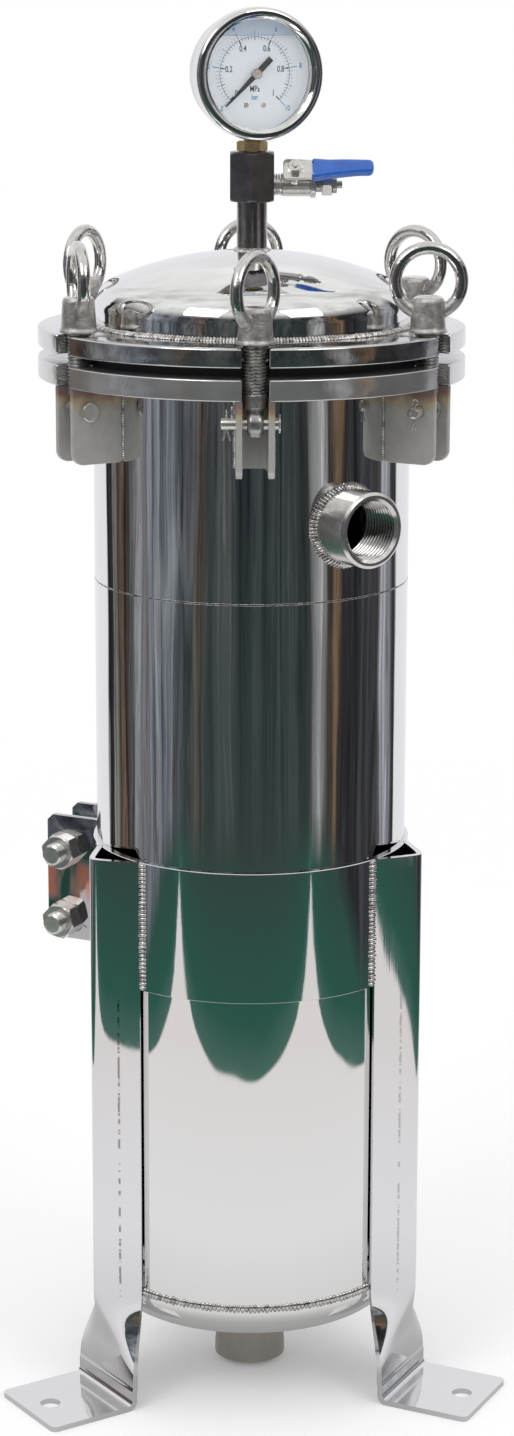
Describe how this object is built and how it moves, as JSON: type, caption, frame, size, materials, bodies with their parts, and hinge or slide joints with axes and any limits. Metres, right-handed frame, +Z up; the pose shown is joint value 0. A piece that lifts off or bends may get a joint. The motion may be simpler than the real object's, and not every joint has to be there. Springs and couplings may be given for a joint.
{
  "type": "bag filter housing",
  "caption": "Upright stainless bag filter housing on tripod legs, with a swing-bolted lid, pressure gauge, vent valve, side inlet, bottom outlet, and basket and bag inside.",
  "frame": {"origin": "floor level on the vessel's vertical axis, centre of the foot bolt circle", "axes": "+Z up the vessel's axis, front (the gauge's and the first eye bolt's side) towards -Y, vent valve towards +X"},
  "size_m": [0.2772, 0.2679, 0.75],
  "materials": {
    "polished_steel": "mirror-polished stainless steel",
    "satin_steel": "satin stainless steel",
    "bolt_steel": "machined stainless steel fasteners",
    "cast_steel": "cast stainless steel, polished ring on a grained boss",
    "dark_steel": "dull stainless steel, darkened by handling",
    "gasket_rubber": "black rubber",
    "bag_felt": "white needle felt",
    "collar_plastic": "white moulded plastic",
    "gauge_brass": "turned brass",
    "dial_white": "white printed dial",
    "pointer_black": "black painted aluminium",
    "gauge_glass": "clear window",
    "grip_blue": "blue vinyl sleeve"
  },
  "bodies": {
    "vessel": {"bag_collar": "collar_plastic", "bag_seat_ring": "satin_steel", "basket": "satin_steel", "body_flange": "polished_steel", "bottom_head": "polished_steel", "clamp_band": "polished_steel", "clamp_bolts": "bolt_steel", "clamp_nuts": "bolt_steel", "filter_bag": "bag_felt", "hinge_lug_1": "satin_steel", "hinge_lug_2": "satin_steel", "hinge_lug_3": "satin_steel", "hinge_lug_4": "satin_steel", "hinge_lug_5": "satin_steel", "hinge_lug_6": "satin_steel", "hinge_pins": "satin_steel", "inlet_coupling": "satin_steel", "leg_back": "polished_steel", "leg_left": "polished_steel", "leg_right": "polished_steel", "lid_gasket": "gasket_rubber", "lower_shell": "polished_steel", "outlet_coupling": "satin_steel", "split_pins": "satin_steel", "upper_shell": "polished_steel"},
    "lid": {"lid_flange": "polished_steel", "lid_dome": "polished_steel", "riser_pipe": "dark_steel", "gauge_tee": "dark_steel", "gauge_stem": "gauge_brass", "gauge_case": "polished_steel", "gauge_dial": "dial_white", "gauge_glass": "gauge_glass", "gauge_bezel": "polished_steel", "vent_nipple": "bolt_steel", "vent_valve_body": "satin_steel", "vent_outlet_fitting": "satin_steel"},
    "vent_handle": {"vent_ball": "polished_steel", "vent_stem": "satin_steel", "vent_lever": "satin_steel", "lever_grip": "grip_blue", "lever_nut": "bolt_steel"},
    "pointer": {"gauge_pointer": "pointer_black"},
    "bail": {"basket_handle": "satin_steel"},
    "bolt_1": {"swing_bolt_1": "bolt_steel"},
    "nut_1": {"eye_nut_1": "cast_steel"},
    "bolt_2": {"swing_bolt_2": "bolt_steel"},
    "nut_2": {"eye_nut_2": "cast_steel"},
    "bolt_3": {"swing_bolt_3": "bolt_steel"},
    "nut_3": {"eye_nut_3": "cast_steel"},
    "bolt_4": {"swing_bolt_4": "bolt_steel"},
    "nut_4": {"eye_nut_4": "cast_steel"},
    "bolt_5": {"swing_bolt_5": "bolt_steel"},
    "nut_5": {"eye_nut_5": "cast_steel"},
    "bolt_6": {"swing_bolt_6": "bolt_steel"},
    "nut_6": {"eye_nut_6": "cast_steel"}
  },
  "joints": [
    {"name": "lid_lift", "type": "slide", "parent": "vessel", "child": "lid", "axis": [0, 0, 1], "range_m": [0, 0.12]},
    {"name": "vent_turn", "type": "hinge", "parent": "lid", "child": "vent_handle", "pos_m": [0.0224, 0, 0.659], "axis": [0, 0.766, -0.6428], "range_deg": [0, 90]},
    {"name": "pointer_turn", "type": "hinge", "parent": "lid", "child": "pointer", "pos_m": [0, 0, 0.716], "axis": [-0.2924, 0.9563, 0], "range_deg": [0, 270]},
    {"name": "bail_swing", "type": "hinge", "parent": "vessel", "child": "bail", "pos_m": [0, 0, 0.4596], "axis": [-1, 0, 0], "range_deg": [0, 90]},
    {"name": "bolt_1_swing", "type": "hinge", "parent": "vessel", "child": "bolt_1", "pos_m": [0.00181, -0.10348, 0.5475], "axis": [0.9998, 0.0175, 0], "range_deg": [0, 150]},
    {"name": "nut_1_travel", "type": "slide", "parent": "bolt_1", "child": "nut_1", "axis": [0, 0, 1], "range_m": [0, 0.12]},
    {"name": "bolt_2_swing", "type": "hinge", "parent": "vessel", "child": "bolt_2", "pos_m": [0.09052, -0.05018, 0.5475], "axis": [0.4848, 0.8746, 0], "range_deg": [0, 150]},
    {"name": "nut_2_travel", "type": "slide", "parent": "bolt_2", "child": "nut_2", "axis": [0, 0, 1], "range_m": [0, 0.12]},
    {"name": "bolt_3_swing", "type": "hinge", "parent": "vessel", "child": "bolt_3", "pos_m": [0.08872, 0.05331, 0.5475], "axis": [-0.515, 0.8572, 0], "range_deg": [0, 150]},
    {"name": "nut_3_travel", "type": "slide", "parent": "bolt_3", "child": "nut_3", "axis": [0, 0, 1], "range_m": [0, 0.12]},
    {"name": "bolt_4_swing", "type": "hinge", "parent": "vessel", "child": "bolt_4", "pos_m": [-0.00181, 0.10348, 0.5475], "axis": [-0.9998, -0.0175, 0], "range_deg": [0, 150]},
    {"name": "nut_4_travel", "type": "slide", "parent": "bolt_4", "child": "nut_4", "axis": [0, 0, 1], "range_m": [0, 0.12]},
    {"name": "bolt_5_swing", "type": "hinge", "parent": "vessel", "child": "bolt_5", "pos_m": [-0.09052, 0.05018, 0.5475], "axis": [-0.4848, -0.8746, 0], "range_deg": [0, 150]},
    {"name": "nut_5_travel", "type": "slide", "parent": "bolt_5", "child": "nut_5", "axis": [0, 0, 1], "range_m": [0, 0.12]},
    {"name": "bolt_6_swing", "type": "hinge", "parent": "vessel", "child": "bolt_6", "pos_m": [-0.08872, -0.05331, 0.5475], "axis": [0.515, -0.8572, 0], "range_deg": [0, 150]},
    {"name": "nut_6_travel", "type": "slide", "parent": "bolt_6", "child": "nut_6", "axis": [0, 0, 1], "range_m": [0, 0.12]}
  ],
  "couplings": [
    {"joint": "nut_1_travel", "follows": "lid_lift", "ratio": 1},
    {"joint": "nut_2_travel", "follows": "lid_lift", "ratio": 1},
    {"joint": "nut_3_travel", "follows": "lid_lift", "ratio": 1},
    {"joint": "nut_4_travel", "follows": "lid_lift", "ratio": 1},
    {"joint": "nut_5_travel", "follows": "lid_lift", "ratio": 1},
    {"joint": "nut_6_travel", "follows": "lid_lift", "ratio": 1}
  ]
}
